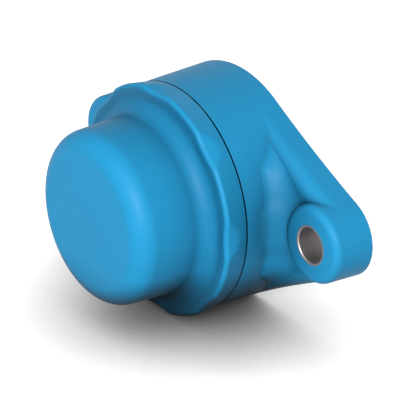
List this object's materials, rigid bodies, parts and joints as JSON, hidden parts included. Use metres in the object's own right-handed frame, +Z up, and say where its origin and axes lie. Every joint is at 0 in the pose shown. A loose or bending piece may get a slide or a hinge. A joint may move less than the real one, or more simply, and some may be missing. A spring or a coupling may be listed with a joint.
{
  "type": "flange bearing unit",
  "caption": "Oval flanged bearing unit: blue moulded housing with steel-lined bolt holes, closed end cover and a self-aligning ball bearing locked by grub screws.",
  "frame": {"origin": "centre of the mounting face, on the shaft axis, midway between the bolt holes", "axes": "+X along the flange's long way, +Y out of the mounting face into the machine, so that the closed cover faces -Y, +Z up"},
  "size_m": [0.1232, 0.0534, 0.0702],
  "materials": {
    "housing_blue": "satin moulded composite",
    "cover_blue": "satin moulded plastic",
    "stainless_steel": "turned or pressed stainless steel",
    "bearing_steel": "ground bearing steel",
    "ball_steel": "polished",
    "screw_steel": "stainless, plain",
    "seal_rubber": "moulded synthetic rubber",
    "cage_polymer": "natural polyamide"
  },
  "bodies": {
    "housing_unit": {"housing": "housing_blue", "bolt_bushing_left": "stainless_steel", "bolt_bushing_right": "stainless_steel", "back_seal": "seal_rubber", "cover_seal": "seal_rubber"},
    "end_cover_unit": {"end_cover": "cover_blue"},
    "bearing_outer": {"outer_ring": "bearing_steel", "front_seal_plate": "stainless_steel", "front_seal_lip": "seal_rubber", "rear_seal_plate": "stainless_steel", "rear_seal_lip": "seal_rubber"},
    "bearing_inner": {"inner_ring": "bearing_steel", "front_flinger": "stainless_steel", "rear_flinger": "stainless_steel"},
    "ball_cage": {"cage": "cage_polymer"},
    "grub_screw_1_body": {"grub_screw_1": "screw_steel"},
    "grub_screw_2_body": {"grub_screw_2": "screw_steel"},
    "ball_1_body": {"ball_1": "ball_steel"},
    "ball_2_body": {"ball_2": "ball_steel"},
    "ball_3_body": {"ball_3": "ball_steel"},
    "ball_4_body": {"ball_4": "ball_steel"},
    "ball_5_body": {"ball_5": "ball_steel"},
    "ball_6_body": {"ball_6": "ball_steel"},
    "ball_7_body": {"ball_7": "ball_steel"},
    "ball_8_body": {"ball_8": "ball_steel"},
    "ball_9_body": {"ball_9": "ball_steel"}
  },
  "joints": [
    {"name": "cover_pull_off", "type": "slide", "parent": "housing_unit", "child": "end_cover_unit", "axis": [0, -1, 0], "range_m": [0, 0.03]},
    {"name": "bearing_alignment", "type": "hinge", "parent": "housing_unit", "child": "bearing_outer", "pos_m": [0, -0.016, 0], "axis": [1, 0, 0], "range_deg": [-2, 2]},
    {"name": "inner_ring_spin", "type": "hinge", "parent": "bearing_outer", "child": "bearing_inner", "pos_m": [0, -0.016, 0], "axis": [0, 1, 0], "continuous": true},
    {"name": "cage_orbit", "type": "hinge", "parent": "bearing_outer", "child": "ball_cage", "pos_m": [0, -0.016, 0], "axis": [0, 1, 0], "continuous": true},
    {"name": "ball_1_roll", "type": "hinge", "parent": "ball_cage", "child": "ball_1_body", "pos_m": [0.01952, -0.016, 0], "axis": [0, 1, 0], "continuous": true},
    {"name": "ball_2_roll", "type": "hinge", "parent": "ball_cage", "child": "ball_2_body", "pos_m": [0.01495, -0.016, 0.01255], "axis": [0, 1, 0], "continuous": true},
    {"name": "ball_3_roll", "type": "hinge", "parent": "ball_cage", "child": "ball_3_body", "pos_m": [0.00339, -0.016, 0.01922], "axis": [0, 1, 0], "continuous": true},
    {"name": "ball_4_roll", "type": "hinge", "parent": "ball_cage", "child": "ball_4_body", "pos_m": [-0.00976, -0.016, 0.0169], "axis": [0, 1, 0], "continuous": true},
    {"name": "ball_5_roll", "type": "hinge", "parent": "ball_cage", "child": "ball_5_body", "pos_m": [-0.01834, -0.016, 0.00668], "axis": [0, 1, 0], "continuous": true},
    {"name": "ball_6_roll", "type": "hinge", "parent": "ball_cage", "child": "ball_6_body", "pos_m": [-0.01834, -0.016, -0.00668], "axis": [0, 1, 0], "continuous": true},
    {"name": "ball_7_roll", "type": "hinge", "parent": "ball_cage", "child": "ball_7_body", "pos_m": [-0.00976, -0.016, -0.0169], "axis": [0, 1, 0], "continuous": true},
    {"name": "ball_8_roll", "type": "hinge", "parent": "ball_cage", "child": "ball_8_body", "pos_m": [0.00339, -0.016, -0.01922], "axis": [0, 1, 0], "continuous": true},
    {"name": "ball_9_roll", "type": "hinge", "parent": "ball_cage", "child": "ball_9_body", "pos_m": [0.01495, -0.016, -0.01255], "axis": [0, 1, 0], "continuous": true},
    {"name": "grub_screw_1_travel", "type": "slide", "parent": "bearing_inner", "child": "grub_screw_1_body", "axis": [0, 0, -1], "range_m": [-0.002, 0.0005]},
    {"name": "grub_screw_2_travel", "type": "slide", "parent": "bearing_inner", "child": "grub_screw_2_body", "axis": [-0.866, 0, 0.5], "range_m": [-0.002, 0.0005]}
  ],
  "couplings": [
    {"joint": "cage_orbit", "follows": "inner_ring_spin", "ratio": 0.39833},
    {"joint": "ball_1_roll", "follows": "inner_ring_spin", "ratio": -2.3573},
    {"joint": "ball_2_roll", "follows": "inner_ring_spin", "ratio": -2.3573},
    {"joint": "ball_3_roll", "follows": "inner_ring_spin", "ratio": -2.3573},
    {"joint": "ball_4_roll", "follows": "inner_ring_spin", "ratio": -2.3573},
    {"joint": "ball_5_roll", "follows": "inner_ring_spin", "ratio": -2.3573},
    {"joint": "ball_6_roll", "follows": "inner_ring_spin", "ratio": -2.3573},
    {"joint": "ball_7_roll", "follows": "inner_ring_spin", "ratio": -2.3573},
    {"joint": "ball_8_roll", "follows": "inner_ring_spin", "ratio": -2.3573},
    {"joint": "ball_9_roll", "follows": "inner_ring_spin", "ratio": -2.3573}
  ]
}
